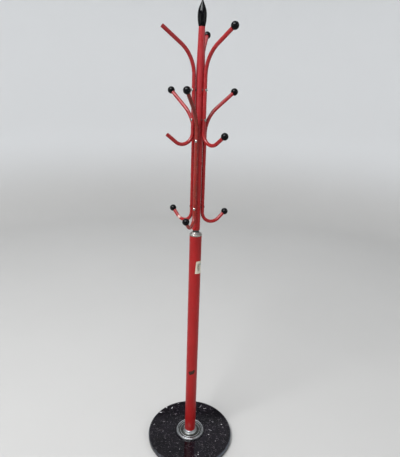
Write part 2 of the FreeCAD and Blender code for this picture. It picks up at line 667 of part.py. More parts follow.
# ------------------------------------------------------------ check and write
doc.recompute()
bad = []
for obj in doc.Objects:
    if any(word in ("Invalid", "Error") for word in obj.State):
        bad.append((obj.Name, obj.State))
for obj in PARTS:
    if obj.Shape.isNull() or not obj.Shape.isValid() or not obj.Shape.Solids:
        bad.append((obj.Name, "shape"))
if bad:
    raise RuntimeError("failed objects: %r" % bad)
names = [obj.Label for obj in PARTS]
if len(set(names)) != len(names) or len(names) > 60:
    raise RuntimeError("node names")
for obj in PARTS:
    obj.Shape.exportStep("parts/%s.step" % obj.Label)
    box = obj.Shape.optimalBoundingBox()
    print("%-26s solids %d  vol %9.1f  x %.1f..%.1f y %.1f..%.1f z %.1f..%.1f" % (obj.Label, len(obj.Shape.Solids), obj.Shape.Volume, box.XMin, box.XMax, box.YMin, box.YMax, box.ZMin, box.ZMax))
print("nodes", len(PARTS))
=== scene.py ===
import math

import bmesh
import bpy
from mathutils import Matrix, Vector, noise


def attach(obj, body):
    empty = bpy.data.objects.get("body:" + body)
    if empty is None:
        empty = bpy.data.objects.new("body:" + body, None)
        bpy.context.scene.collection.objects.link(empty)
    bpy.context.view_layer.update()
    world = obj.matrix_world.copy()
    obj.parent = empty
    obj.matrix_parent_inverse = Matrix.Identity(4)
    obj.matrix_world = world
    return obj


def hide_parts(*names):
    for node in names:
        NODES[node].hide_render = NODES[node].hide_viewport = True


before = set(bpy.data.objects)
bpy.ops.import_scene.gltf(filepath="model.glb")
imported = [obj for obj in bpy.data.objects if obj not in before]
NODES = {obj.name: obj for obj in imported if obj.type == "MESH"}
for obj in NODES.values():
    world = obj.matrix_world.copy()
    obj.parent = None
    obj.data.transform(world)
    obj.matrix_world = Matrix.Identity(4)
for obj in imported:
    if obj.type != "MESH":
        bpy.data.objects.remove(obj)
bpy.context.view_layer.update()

MM = 0.001


# ------------------------------------------------------------------ shader graphs
class Graph:
    """A material with its Principled shader and short calls for the nodes around it."""

    def __init__(self, name, **sockets):
        self.mat = bpy.data.materials.new(name)
        self.mat.use_nodes = True
        self.tree = self.mat.node_tree
        self.tree.nodes.clear()
        out = self.tree.nodes.new("ShaderNodeOutputMaterial")
        self.bsdf = self.tree.nodes.new("ShaderNodeBsdfPrincipled")
        self.tree.links.new(self.bsdf.outputs["BSDF"], out.inputs["Surface"])
        self.p = self.node("ShaderNodeTexCoord").outputs["Object"]
        self.set(**sockets)

    def set(self, **sockets):
        names = {
            "color": "Base Color", "rough": "Roughness", "metal": "Metallic", "spec": "Specular IOR Level",
            "ior": "IOR", "coat": "Coat Weight", "coat_rough": "Coat Roughness", "normal": "Normal",
            "sss": "Subsurface Weight", "sheen": "Sheen Weight", "coat_normal": "Coat Normal",
            "aniso": "Anisotropic",
        }
        for key, value in sockets.items():
            self.put(self.bsdf.inputs[names[key]], value)

    def put(self, socket, value):
        if isinstance(value, bpy.types.NodeSocket):
            self.tree.links.new(value, socket)
        elif isinstance(value, (tuple, list)) and socket.type == "RGBA":
            socket.default_value = (*value[:3], 1.0)
        else:
            socket.default_value = value

    def node(self, kind, ins=(), **props):
        n = self.tree.nodes.new(kind)
        for k, v in props.items():
            setattr(n, k, v)
        for k, v in dict(ins).items():
            self.put(n.inputs[k], v)
        return n

    def noise(self, scale, detail=2.0, rough=0.5, vec=None, distortion=0.0, color=False):
        n = self.node("ShaderNodeTexNoise", {"Vector": vec or self.p, "Scale": scale, "Detail": detail,
                                             "Roughness": rough, "Distortion": distortion})
        return n.outputs["Color" if color else "Fac"]

    def voronoi(self, scale, vec=None, feature="F1", out="Distance", randomness=1.0):
        n = self.node("ShaderNodeTexVoronoi", feature=feature)
        self.put(n.inputs["Vector"], vec or self.p)
        self.put(n.inputs["Scale"], scale)
        self.put(n.inputs["Randomness"], randomness)
        return n.outputs[out]

    def stretch(self, scale, rotation=(0, 0, 0), location=(0, 0, 0), vec=None):
        n = self.node("ShaderNodeMapping")
        self.put(n.inputs["Vector"], vec or self.p)
        n.inputs["Scale"].default_value = scale
        n.inputs["Rotation"].default_value = rotation
        n.inputs["Location"].default_value = location
        return n.outputs["Vector"]

    def math(self, op, a, b=0.0, c=0.0, clamp=False):
        n = self.node("ShaderNodeMath", operation=op, use_clamp=clamp)
        for i, v in enumerate((a, b, c)):
            if i < len(n.inputs):
                self.put(n.inputs[i], v)
        return n.outputs[0]

    def vmath(self, op, a, b=(0, 0, 0)):
        n = self.node("ShaderNodeVectorMath", operation=op)
        self.put(n.inputs[0], a)
        self.put(n.inputs[1], b)
        return n.outputs["Vector"]

    def step(self, v, low, high, to_low=0.0, to_high=1.0):
        """Smooth ramp of v from low to high."""
        n = self.node("ShaderNodeMapRange", interpolation_type="SMOOTHSTEP")
        for i, x in enumerate((v, low, high, to_low, to_high)):
            self.put(n.inputs[i], x)
        return n.outputs[0]

    def lin(self, v, low, high, to_low=0.0, to_high=1.0):
        n = self.node("ShaderNodeMapRange")
        for i, x in enumerate((v, low, high, to_low, to_high)):
            self.put(n.inputs[i], x)
        return n.outputs[0]

    def mix(self, fac, a, b, blend="MIX"):
        n = self.node("ShaderNodeMix", data_type="RGBA", blend_type=blend)
        self.put(n.inputs[0], fac)
        self.put(n.inputs[6], a)
        self.put(n.inputs[7], b)
        return n.outputs[2]

    def blend(self, fac, a, b):
        n = self.node("ShaderNodeMix", data_type="FLOAT")
        self.put(n.inputs[0], fac)
        self.put(n.inputs[2], a)
        self.put(n.inputs[3], b)
        return n.outputs[0]

    def bump(self, height, strength, distance, normal=None):
        n = self.node("ShaderNodeBump", {"Height": height, "Strength": strength, "Distance": distance})
        if normal is not None:
            self.put(n.inputs["Normal"], normal)
        return n.outputs["Normal"]

    def xyz(self):
        n = self.node("ShaderNodeSeparateXYZ", {"Vector": self.p})
        return n.outputs["X"], n.outputs["Y"], n.outputs["Z"]

    def radius(self):
        x, y, _ = self.xyz()
        return self.math("SQRT", self.math("ADD", self.math("MULTIPLY", x, x), self.math("MULTIPLY", y, y)))

    def around(self, r):
        """(arc length from the front towards +X, height) on an upright cylinder of radius r."""
        x, y, z = self.xyz()
        angle = self.math("ARCTAN2", x, self.math("MULTIPLY", y, -1.0))
        return self.math("MULTIPLY", angle, r), z

    def spot(self, u, v, cu, cv, ru, rv, turn=0.0):
        """Elliptical distance from a centre, 1 at the ellipse."""
        du, dv = self.math("SUBTRACT", u, cu), self.math("SUBTRACT", v, cv)
        c, s = math.cos(turn), math.sin(turn)
        a = self.math("ADD", self.math("MULTIPLY", du, c), self.math("MULTIPLY", dv, s))
        b = self.math("SUBTRACT", self.math("MULTIPLY", dv, c), self.math("MULTIPLY", du, s))
        a, b = self.math("DIVIDE", a, ru), self.math("DIVIDE", b, rv)
        return self.math("SQRT", self.math("ADD", self.math("MULTIPLY", a, a), self.math("MULTIPLY", b, b)))

    def union(self, *masks):
        out = masks[0]
        for m in masks[1:]:
            out = self.math("MAXIMUM", out, m)
        return out


def enamel(name, hue, deep, chips, gloss=0.30, marks=None, seed=0.0, retint=None):
    """Old sprayed enamel on steel: orange peel, faded patches, rubbed streaks and small dark chips."""
    g = Graph(name, ior=1.5, spec=0.26)
    moved = g.stretch((1, 1, 1), location=(seed, seed * 0.7, seed * 0.3))
    cloud = g.noise(7.0, 3.0, 0.55, vec=moved)
    fade = g.noise(38.0, 4.0, 0.6, vec=moved)
    tone = g.mix(g.step(cloud, 0.32, 0.70), deep, hue)
    tone = g.mix(g.step(fade, 0.50, 0.78, 0.0, 0.24), tone, (hue[0] * 1.12 + 0.01, hue[1] * 1.7 + 0.006, hue[2] * 1.6 + 0.006))
    # rubbed streaks along the tube
    streak = g.noise(1.0, 3.0, 0.65, vec=g.stretch((520, 520, 16), location=(seed, 0, 0)))
    rub = g.step(streak, 0.60, 0.74)
    tone = g.mix(g.math("MULTIPLY", rub, 0.10), tone, (0.44, 0.13, 0.12))
    if retint is not None:
        tone = retint(g, tone)
    # dirt in soft patches
    dirt = g.step(g.noise(19.0, 5.0, 0.65, vec=moved), 0.60, 0.80)
    tone = g.mix(g.math("MULTIPLY", dirt, 0.30), tone, (0.075, 0.018, 0.014))
    # small chips: voronoi cells, few of them chosen, with ragged edges
    ragged = g.vmath("ADD", moved, g.vmath("MULTIPLY", g.noise(320.0, 3.0, 0.6, vec=moved, color=True), (0.0042, 0.0042, 0.0042)))
    cell = g.voronoi(chips[0], vec=ragged)
    pick = g.voronoi(chips[0], vec=ragged, out="Color")
    chosen = g.node("ShaderNodeSeparateColor", {"Color": pick}).outputs[0]
    chip = g.math("MULTIPLY", g.step(cell, chips[1], chips[1] * 0.72), g.step(chosen, chips[2], chips[2] + 0.01))
    bare = chip
    pale = None
    if marks:
        bare, pale = marks(g, chip)
    core = g.mix(g.step(g.noise(700.0, 3.0, 0.6), 0.40, 0.62), (0.030, 0.0065, 0.0042), (0.062, 0.0185, 0.0115))
    tone = g.mix(bare, tone, core)
    if pale is not None:
        tone = g.mix(pale, tone, (0.55, 0.38, 0.34))
    peel = g.noise(620.0, 2.0, 0.5)
    fine = g.noise(2600.0, 2.0, 0.5)
    rough = g.blend(g.step(fade, 0.35, 0.75), gloss - 0.04, gloss + 0.13)
    rough = g.math("ADD", rough, g.math("MULTIPLY", rub, 0.16))
    rough = g.math("ADD", rough, g.math("MULTIPLY", dirt, 0.14))
    rough = g.blend(bare, rough, 0.78)
    n = g.bump(peel, 0.10, 0.0006)
    n = g.bump(fine, 0.05, 0.0002, n)
    n = g.bump(g.math("SUBTRACT", 1.0, bare), 0.55, 0.00045, n)
    g.set(color=tone, rough=rough, normal=n)
    return g.mat


def post_marks(g, chip):
    """The one large two-lobed chip low on the front of the post, a rubbed grey scuff by its foot and chipped wear along
    the lower edge.
    """
    u, v = g.around(0.023)
    wob = g.node("ShaderNodeSeparateXYZ", {"Vector": g.noise(260.0, 3.0, 0.6, color=True)})
    u = g.math("ADD", u, g.math("MULTIPLY", g.math("SUBTRACT", wob.outputs["X"], 0.5), 0.0034))
    v = g.math("ADD", v, g.math("MULTIPLY", g.math("SUBTRACT", wob.outputs["Y"], 0.5), 0.0034))
    left = g.step(g.spot(u, v, -0.0060, 0.3435, 0.0077, 0.0088, 0.15), 1.04, 0.94)
    right = g.step(g.spot(u, v, 0.0068, 0.3490, 0.0068, 0.0108, -0.42), 1.04, 0.94)
    middle = g.step(g.spot(u, v, 0.0012, 0.3462, 0.0078, 0.0088), 1.04, 0.94)
    big = g.union(left, right, middle)
    small = g.step(g.spot(u, v, 0.0075, 0.3245, 0.0011, 0.0014), 1.1, 0.9)
    low = g.step(v, 0.050, 0.024)
    edge = g.math("MULTIPLY", low, g.step(g.noise(170.0, 4.0, 0.65), 0.56, 0.63))
    scuff = g.step(g.spot(u, v, -0.0030, 0.0700, 0.0080, 0.0155, 0.12), 1.25, 0.30)
    scuff = g.math("MULTIPLY", scuff, g.step(g.noise(420.0, 4.0, 0.7), 0.36, 0.66, 0.03, 0.14))
    return g.union(chip, big, small, g.math("MULTIPLY", edge, 0.85)), scuff


def arm_marks(g, chip):
    """Small chips, and one pale band round the left lower hook."""
    d = g.vmath("SUBTRACT", g.p, (-0.0640, 0.0500, 1.0019))
    length = g.node("ShaderNodeVectorMath", operation="LENGTH")
    g.put(length.inputs[0], d)
    band = g.step(length.outputs["Value"], 0.0098, 0.0080)
    band = g.math("MULTIPLY", band, g.step(g.noise(300.0, 3.0, 0.6), 0.36, 0.50, 0.45, 1.0))
    return chip, band


def lower_deepen(g, tone):
    """Darker, deeper red towards the bottom of the column."""
    z = g.xyz()[2]
    return g.mix(g.step(z, 1.46, 1.16, 0.0, 0.80), tone, (0.315, 0.0072, 0.0066))


def front_arm_stain(g, tone):
    """Darker, deeper red towards the bottom of all the arms; the front lower arm has gone brown, most of all on its
    branch.
    """
    x, y, z = g.xyz()
    # darker, deeper red towards the bottom, on every arm
    tone = g.mix(g.step(z, 1.44, 1.20, 0.0, 0.50), tone, (0.285, 0.0080, 0.0075))
    a = math.radians(-18.0)
    across = g.math("ABSOLUTE", g.math("ADD", g.math("MULTIPLY", x, math.cos(a)), g.math("MULTIPLY", y, math.sin(a))))
    on_arm = g.math("MULTIPLY", g.step(across, 0.0095, 0.0075), g.step(y, -0.011, -0.014))
    on_arm = g.math("MULTIPLY", on_arm, g.step(z, 1.475, 1.465))
    patch = g.step(g.noise(26.0, 4.0, 0.6), 0.36, 0.62, 0.45, 0.85)
    tone = g.mix(g.math("MULTIPLY", on_arm, patch), tone, (0.200, 0.031, 0.019))
    branch = g.math("MULTIPLY", on_arm, g.step(z, 1.355, 1.400))
    return g.mix(g.math("MULTIPLY", branch, 0.72), tone, (0.120, 0.0135, 0.0085))


def flange_bands(g, colour, rough):
    """Old plating on the flange: rougher, dark olive bands between the spun rings, their darkness a painted dark
    reflection; the rest of the deck painted darker the same way, while the raised rings and the cone keep a bright tint
    as a painted highlight; a darker outer skirt.
    """
    r = g.radius()
    wob = g.math("MULTIPLY", g.math("SUBTRACT", g.noise(70.0, 3.0, 0.6), 0.5), 0.0012)
    r = g.math("ADD", r, wob)
    dulled_dark_reflection = None
    # dark olive bands between the spun rings, on rougher plating: their dark colour is a painted dark reflection
    for low, high, depth in ((0.0305, 0.0402, 0.92), (0.0434, 0.0488, 0.90), (0.0524, 0.0548, 0.75)):
        band = g.math("MULTIPLY", g.step(r, low - 0.0007, low + 0.0007), g.step(r, high + 0.0007, high - 0.0007))
        band = g.math("MULTIPLY", band, depth)
        dulled_dark_reflection = band if dulled_dark_reflection is None else g.math("MAXIMUM", dulled_dark_reflection, band)
    patchy = g.step(g.noise(95.0, 4.0, 0.6), 0.30, 0.66, 0.72, 1.0)
    dulled_dark_reflection = g.math("MULTIPLY", dulled_dark_reflection, patchy)
    skirt = g.step(r, 0.0585, 0.0595, 0.0, 0.6)
    low = g.step(g.xyz()[2], 0.060, 0.050)
    raised = g.step(r, 0.0310, 0.0298)
    for inner, outer in ((0.0412, 0.0430), (0.0499, 0.0520), (0.0549, 0.0584)):
        ring = g.math("MULTIPLY", g.step(r, inner - 0.0004, inner + 0.0004), g.step(r, outer + 0.0004, outer - 0.0004))
        raised = g.math("MAXIMUM", raised, ring)
    raised = g.math("SUBTRACT", 0.66, g.math("MULTIPLY", raised, 0.66))
    # bright tint kept on the raised rings and the cone as a painted highlight; the deck around them is painted darker
    # as a reflection
    colour = g.mix(low, colour, (0.43, 0.44, 0.45))
    colour = g.mix(g.math("MULTIPLY", low, raised), colour, (0.060, 0.063, 0.058))
    colour = g.mix(dulled_dark_reflection, colour, (0.036, 0.037, 0.029))
    colour = g.mix(skirt, colour, (0.12, 0.118, 0.122))
    rough = g.math("ADD", rough, g.math("MULTIPLY", dulled_dark_reflection, 0.16))
    return colour, rough


def chrome(name, tint, rough_low, rough_high, rings=0.0, pits=0.35, seed=0.0, bands=None):
    """Plated steel: brightness that clouds in patches, wipe marks, turned rings and small rust pits."""
    g = Graph(name, metal=1.0)
    moved = g.stretch((1, 1, 1), location=(seed, 0.3 * seed, 0.0))
    cloud = g.noise(46.0, 5.0, 0.62, vec=moved)
    tarnish = g.step(cloud, 0.44, 0.72)
    colour = g.mix(tarnish, tint, (tint[0] * 0.70, tint[1] * 0.70, tint[2] * 0.66))
    wipes = g.noise(1.0, 2.0, 0.6, vec=g.stretch((240, 1900, 900), rotation=(0.3, 0.2, 0.5), location=(seed, 0, 0)))
    pit = g.voronoi(820.0, vec=moved)
    pick = g.node("ShaderNodeSeparateColor", {"Color": g.voronoi(820.0, vec=moved, out="Color")}).outputs[0]
    pitted = g.math("MULTIPLY", g.step(pit, 0.42, 0.26), g.step(pick, 0.86, 0.88))
    pitted = g.math("MULTIPLY", pitted, g.step(cloud, 0.46, 0.60))
    colour = g.mix(g.math("MULTIPLY", pitted, pits), colour, (0.10, 0.055, 0.030))
    rough = g.blend(tarnish, rough_low, rough_high)
    rough = g.math("ADD", rough, g.step(wipes, 0.58, 0.72, 0.0, 0.07))
    rough = g.blend(g.math("MULTIPLY", pitted, pits), rough, 0.7)
    # on the flange the bands paint a dark reflection between the rings and keep a painted highlight on them
    if bands:
        colour, rough = bands(g, colour, rough)
    height = g.math("MULTIPLY", g.noise(240.0, 2.0, 0.5), 0.6)
    if rings:
        r = g.math("MULTIPLY", g.radius(), 5200.0)
        line = g.node("ShaderNodeCombineXYZ", {"X": r})
        height = g.math("ADD", height, g.math("MULTIPLY", g.noise(1.0, 3.0, 0.6, vec=line.outputs[0]), rings))
    n = g.bump(height, 0.16, 0.00008)
    n = g.bump(g.math("SUBTRACT", 1.0, pitted), 0.3, 0.00012, n)
    g.set(color=colour, rough=rough, normal=n)
    return g.mat


# centre, half length, half width (mm), bearing, strength of the slab's largest flecks
BIG_FLECKS = (
    (-115.2, 133.3, 7.0, 3.2, -0.87, 0.85), (-88.7, 131.6, 8.0, 2.6, 1.15, 0.75), (-141.0, 101.7, 9.0, 3.6, -0.24, 0.90),
    (-59.5, 160.2, 4.6, 2.2, 0.50, 0.40), (48.2, 146.7, 15.0, 1.7, 1.15, 0.42), (64.5, 132.5, 3.0, 2.8, 0.22, 0.80),
    (72.0, 133.8, 3.0, 2.6, 0.22, 0.80), (25.9, 112.4, 5.0, 2.2, -0.63, 0.30), (143.6, 36.8, 3.0, 2.8, 0.0, 1.0),
    (148.5, 21.8, 2.4, 2.2, 0.0, 0.55), (83.9, -23.2, 2.8, 2.6, 0.3, 1.0), (104.7, 50.4, 6.0, 2.2, 1.41, 0.35),
    (89.8, 3.3, 12.0, 1.8, -0.49, 0.40), (37.8, -128.5, 2.6, 2.4, 0.0, 0.95), (38.2, -117.1, 2.0, 1.8, 0.0, 0.55),
    (-80.1, -116.0, 2.6, 2.0, 0.65, 0.30), (-41.2, -102.8, 5.0, 1.8, 1.17, 0.35), (-162.7, 27.6, 5.0, 2.6, 0.90, 0.35),
    (-119.6, -9.5, 3.6, 2.0, 0.47, 0.30), (112.8, -57.1, 4.0, 2.0, 1.11, 0.35),
)


def stone():
    """Black polished stone: grey clouds, short pale flecks at all angles, fine curved veins and wipe marks in the polish."""
    g = Graph("black_marble", ior=1.52, spec=0.30)
    cloud = g.noise(22.0, 6.0, 0.62)
    base = g.mix(g.step(cloud, 0.34, 0.74), (0.0024, 0.0016, 0.0028), (0.0095, 0.0070, 0.0108))
    brown = g.noise(34.0, 4.0, 0.6, vec=g.stretch((1, 1, 1), location=(1.7, 0.4, 0)))
    base = g.mix(g.step(brown, 0.58, 0.76, 0.0, 0.5), base, (0.014, 0.009, 0.008))
    # fine curved veins: thin contours of a warped noise, cut into short lengths by a second one
    warp = g.vmath("ADD", g.p, g.vmath("MULTIPLY", g.noise(60.0, 2.0, 0.5, color=True), (0.014, 0.014, 0.014)))
    veins = None
    for i, (scale, width, gate, depth) in enumerate(((46.0, 0.0105, 0.53, 0.62), (88.0, 0.013, 0.54, 0.60), (150.0, 0.016, 0.57, 0.48))):
        shifted = g.stretch((1, 1, 1), location=(0.31 * i + 0.1, 0.17 * i, 0.05 * i), vec=warp)
        line = g.math("ABSOLUTE", g.math("SUBTRACT", g.noise(scale, 1.0, 0.4, vec=shifted), 0.5))
        line = g.step(line, width, width * 0.25)
        cut = g.step(g.noise(scale * 0.9, 2.0, 0.5, vec=g.stretch((1, 1, 1), location=(3.1 + i, 1.3, 0.2))), gate, gate + 0.06)
        one = g.math("MULTIPLY", g.math("MULTIPLY", line, cut), depth)
        veins = one if veins is None else g.math("MAXIMUM", veins, one)
    # short straight flecks: long thin cells at three bearings
    flecks = None
    for i, turn in enumerate((0.35, 1.45, 2.6)):
        v = g.stretch((1.0, 3.8, 1.0), rotation=(0, 0, turn), location=(0.5 * i, 0.2, 0.1 * i))
        d = g.voronoi(72.0, vec=v)
        pick = g.node("ShaderNodeSeparateColor", {"Color": g.voronoi(72.0, vec=v, out="Color")})
        one = g.math("MULTIPLY", g.step(d, 0.26, 0.13), g.step(pick.outputs[i % 3], 0.972, 0.976))
        one = g.math("MULTIPLY", one, g.lin(pick.outputs[(i + 1) % 3], 0.0, 1.0, 0.05, 0.24))
        flecks = one if flecks is None else g.math("MAXIMUM", flecks, one)
    # the largest flecks of the upper face, placed one by one
    x, y, z = g.xyz()
    jag = g.node("ShaderNodeSeparateXYZ", {"Vector": g.noise(210.0, 3.0, 0.6, color=True)})
    jx = g.math("ADD", x, g.math("MULTIPLY", g.math("SUBTRACT", jag.outputs["X"], 0.5), 0.0030))
    jy = g.math("ADD", y, g.math("MULTIPLY", g.math("SUBTRACT", jag.outputs["Y"], 0.5), 0.0030))
    for cx, cy, half, wide, turn, depth in BIG_FLECKS:
        one = g.step(g.spot(jx, jy, cx * MM, cy * MM, half * 0.78 * MM, wide * 0.62 * MM, turn), 1.15, 0.80)
        flecks = g.math("MAXIMUM", flecks, g.math("MULTIPLY", one, depth))
    grain = g.math("MULTIPLY", g.step(g.voronoi(560.0), 0.26, 0.16),
                   g.step(g.node("ShaderNodeSeparateColor", {"Color": g.voronoi(560.0, out="Color")}).outputs[1], 0.90, 0.92))
    tone = g.mix(veins, base, (0.185, 0.165, 0.180))
    tone = g.mix(g.math("MULTIPLY", grain, 0.14), tone, (0.24, 0.215, 0.22))
    tone = g.mix(flecks, tone, (0.74, 0.72, 0.74))
    # painted bluish highlight, patchy, along the rounded upper edge of the slab
    print_rub_and_rim_highlight = g.math("MULTIPLY", g.step(g.radius(), 0.1785, 0.1812), g.step(z, 0.0085, 0.0135))
    print_rub_and_rim_highlight = g.math("MULTIPLY", print_rub_and_rim_highlight, g.step(g.noise(17.0, 3.0, 0.6), 0.40, 0.60, 0.10, 0.75))
    tone = g.mix(print_rub_and_rim_highlight, tone, (0.085, 0.098, 0.120))
    wipe = g.noise(1.0, 3.0, 0.6, vec=g.stretch((26, 300, 60), rotation=(0, 0, 0.8)))
    smear = g.step(g.noise(16.0, 4.0, 0.6), 0.42, 0.74)
    rough = g.math("ADD", g.blend(smear, 0.045, 0.13), g.step(wipe, 0.56, 0.74, 0.0, 0.06))
    rough = g.math("ADD", rough, g.math("MULTIPLY", g.math("MAXIMUM", veins, flecks), 0.12))
    n = g.bump(g.noise(34.0, 2.0, 0.5), 0.05, 0.0006)
    n = g.bump(g.math("SUBTRACT", 1.0, g.math("MAXIMUM", veins, flecks)), 0.18, 0.00006, n)
    g.set(color=tone, rough=rough, normal=n)
    return g.mat


def gloss_black(name="black_gloss", rough_low=0.10, rough_high=0.21):
    """Moulded phenolic black: deep gloss, hand-worn patches, hair scratches and a little dust."""
    g = Graph(name, ior=1.5, spec=0.105)
    wear = g.step(g.noise(52.0, 4.0, 0.62), 0.42, 0.72)
    colour = g.mix(wear, (0.0012, 0.0012, 0.0018), (0.0030, 0.0030, 0.0042))
    dust = g.math("MULTIPLY", g.step(g.noise(1500.0, 2.0, 0.6), 0.66, 0.74), g.step(g.noise(70.0, 3.0, 0.5), 0.48, 0.66))
    colour = g.mix(g.math("MULTIPLY", dust, 0.35), colour, (0.12, 0.11, 0.10))
    scratch = None
    for turn, loc in ((0.5, 0.0), (1.9, 2.3)):
        s = g.noise(1.0, 2.0, 0.5, vec=g.stretch((90, 2600, 420), rotation=(turn, 0.6 * turn, turn), location=(loc, 0, 0)))
        s = g.step(s, 0.66, 0.73)
        scratch = s if scratch is None else g.math("MAXIMUM", scratch, s)
    rough = g.blend(wear, rough_low, rough_high)
    rough = g.math("ADD", rough, g.math("MULTIPLY", scratch, 0.14))
    rough = g.math("ADD", rough, g.math("MULTIPLY", dust, 0.3))
    n = g.bump(g.noise(190.0, 2.0, 0.5), 0.06, 0.0004)
    n = g.bump(g.math("SUBTRACT", 1.0, scratch), 0.12, 0.00003, n)
    g.set(color=colour, rough=rough, normal=n)
    return g.mat


def nylon():
    g = Graph("dark_nylon", ior=1.5)
    mottle = g.noise(240.0, 4.0, 0.6)
    colour = g.mix(g.step(mottle, 0.35, 0.7), (0.010, 0.009, 0.008), (0.030, 0.027, 0.024))
    grease = g.step(g.noise(90.0, 3.0, 0.6), 0.50, 0.70)
    colour = g.mix(g.math("MULTIPLY", grease, 0.5), colour, (0.012, 0.008, 0.005))
    lathe = g.noise(1.0, 3.0, 0.6, vec=g.stretch((60, 60, 5200)))
    n = g.bump(g.math("ADD", lathe, mottle), 0.22, 0.0001)
    g.set(color=colour, rough=g.blend(grease, 0.52, 0.24), normal=n)
    return g.mat


def rubber():
    g = Graph("rubber_pads", ior=1.5)
    grit = g.noise(900.0, 4.0, 0.65)
    dust = g.step(g.noise(130.0, 4.0, 0.6), 0.46, 0.72)
    colour = g.mix(dust, (0.018, 0.017, 0.016), (0.085, 0.075, 0.062))
    n = g.bump(g.math("ADD", grit, g.math("MULTIPLY", g.voronoi(1300.0), 0.6)), 0.4, 0.0002)
    g.set(color=colour, rough=g.blend(dust, 0.72, 0.94), normal=n)
    return g.mat


def steel():
    g = Graph("plain_steel", metal=1.0)
    oil = g.step(g.noise(85.0, 4.0, 0.6), 0.40, 0.72)
    colour = g.mix(oil, (0.46, 0.45, 0.43), (0.22, 0.20, 0.175))
    rust = g.math("MULTIPLY", g.step(g.noise(150.0, 5.0, 0.7), 0.60, 0.72), 0.6)
    colour = g.mix(rust, colour, (0.13, 0.055, 0.025))
    lathe = g.noise(1.0, 3.0, 0.6, vec=g.stretch((40, 40, 4200)))
    n = g.bump(g.math("ADD", lathe, g.noise(700.0, 3.0, 0.6)), 0.3, 0.0001)
    g.set(color=colour, rough=g.math("ADD", g.blend(oil, 0.26, 0.42), g.math("MULTIPLY", rust, 0.4)), normal=n)
    return g.mat


def paper():
    """Aged cream paper: fibres, foxing and a soft grey rub where print has rubbed off."""
    g = Graph("cream_paper", ior=1.45, spec=0.3)
    fibre = g.noise(1.0, 4.0, 0.7, vec=g.stretch((900, 900, 3400)))
    cloud = g.noise(120.0, 4.0, 0.6)
    colour = g.mix(g.step(cloud, 0.34, 0.72), (0.66, 0.62, 0.51), (0.54, 0.49, 0.38))
    colour = g.mix(g.step(fibre, 0.52, 0.75, 0.0, 0.30), colour, (0.36, 0.29, 0.19))
    foxing = g.math("MULTIPLY", g.step(g.voronoi(420.0), 0.22, 0.08),
                    g.step(g.node("ShaderNodeSeparateColor", {"Color": g.voronoi(420.0, out="Color")}).outputs[2], 0.80, 0.83))
    colour = g.mix(g.math("MULTIPLY", foxing, 0.5), colour, (0.24, 0.13, 0.06))
    u, v = g.around(0.0231)
    print_rub_and_rim_highlight = g.step(g.spot(u, v, 0.0145, 0.8235, 0.0062, 0.0190, 0.06), 1.15, 0.60)
    print_rub_and_rim_highlight = g.math("MULTIPLY", print_rub_and_rim_highlight, g.step(g.noise(260.0, 3.0, 0.65), 0.34, 0.62, 0.35, 1.0))
    colour = g.mix(g.math("MULTIPLY", print_rub_and_rim_highlight, 0.85), colour, (0.125, 0.12, 0.095))
    smudge = g.step(g.spot(u, v, 0.0235, 0.8350, 0.0048, 0.0055, 0.4), 1.3, 0.5)
    smudge = g.math("MULTIPLY", smudge, g.step(g.noise(330.0, 3.0, 0.65), 0.34, 0.60, 0.55, 0.95))
    colour = g.mix(smudge, colour, (0.05, 0.22, 0.24))
    n = g.bump(g.math("ADD", fibre, g.math("MULTIPLY", cloud, 0.5)), 0.3, 0.0001)
    g.set(color=colour, rough=g.blend(g.step(cloud, 0.4, 0.7), 0.62, 0.82), normal=n)
    return g.mat


RED_POST = enamel("red_post", (0.335, 0.0088, 0.0096), (0.285, 0.0062, 0.0068), (26.0, 0.085, 0.955), 0.36, post_marks, 0.0)
RED_COLUMN = enamel("red_column", (0.345, 0.0175, 0.0225), (0.300, 0.0120, 0.0160), (34.0, 0.080, 0.95), 0.30, None, 2.3, lower_deepen)
RED_ARMS = enamel("red_arms", (0.335, 0.0165, 0.0200), (0.270, 0.0105, 0.0125), (46.0, 0.090, 0.93), 0.25, arm_marks, 4.1, front_arm_stain)
CHROME = chrome("chrome_trim", (0.42, 0.395, 0.37), 0.27, 0.38, rings=0.9, seed=0.4, bands=flange_bands)
SCREWS = chrome("chrome_screws", (0.33, 0.325, 0.31), 0.20, 0.38, pits=0.6, seed=1.9)
MARBLE = stone()
BLACK = gloss_black()
NYLON = nylon()
RUBBER = rubber()
STEEL = steel()
PAPER = paper()

SLOT_MATERIAL = {
    "black_marble": MARBLE, "rubber_pads": RUBBER, "plain_steel": STEEL, "chrome_trim": CHROME,
    "chrome_screws": SCREWS, "red_post": RED_POST, "red_column": RED_COLUMN, "red_arms": RED_ARMS,
    "black_gloss": BLACK, "dark_nylon": NYLON, "cream_paper": PAPER,
}


def slot_of(name):
    if name.endswith("_knob") or name == "finial":
        return "black_gloss"
    if name.endswith("_screws"):
        return "chrome_screws"
    if name.endswith("_spacers") or name.endswith("_bush"):
        return "dark_nylon"
    if "_arm_" in name:
        return "red_arms"
    return {
        "base_pads": "rubber_pads", "base_slab": "black_marble", "clamp_washer": "plain_steel",
        "clamp_bolt": "plain_steel", "base_flange": "chrome_trim", "post_foot_ring": "chrome_trim",
        "lower_post": "red_post", "post_foot_plug": "plain_steel", "post_top_plug": "plain_steel",
        "swivel_collar": "chrome_trim", "thrust_washer": "plain_steel", "spindle": "plain_steel",
        "spindle_clip": "plain_steel", "paper_label": "cream_paper", "column_tube": "red_column",
    }[name]


for name, o in NODES.items():
    mat = SLOT_MATERIAL[slot_of(name)]
    if not o.material_slots:
        o.data.materials.append(mat)
    for s in o.material_slots:
        s.material = mat


# ------------------------------------------------------------------ meshes
def new_piece(name, bm, body, slot, replaced=(), sharp=35.0):
    mesh = bpy.data.meshes.new(name)
    bm.normal_update()
    bm.to_mesh(mesh)
    bm.free()
    o = bpy.data.objects.new(name, mesh)
    bpy.context.scene.collection.objects.link(o)
    for p in mesh.polygons:
        p.use_smooth = True
    mesh.set_sharp_from_angle(angle=math.radians(sharp))
    mesh.materials.append(SLOT_MATERIAL[slot])
    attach(o, body)
    if replaced:
        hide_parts(*replaced)
    return o


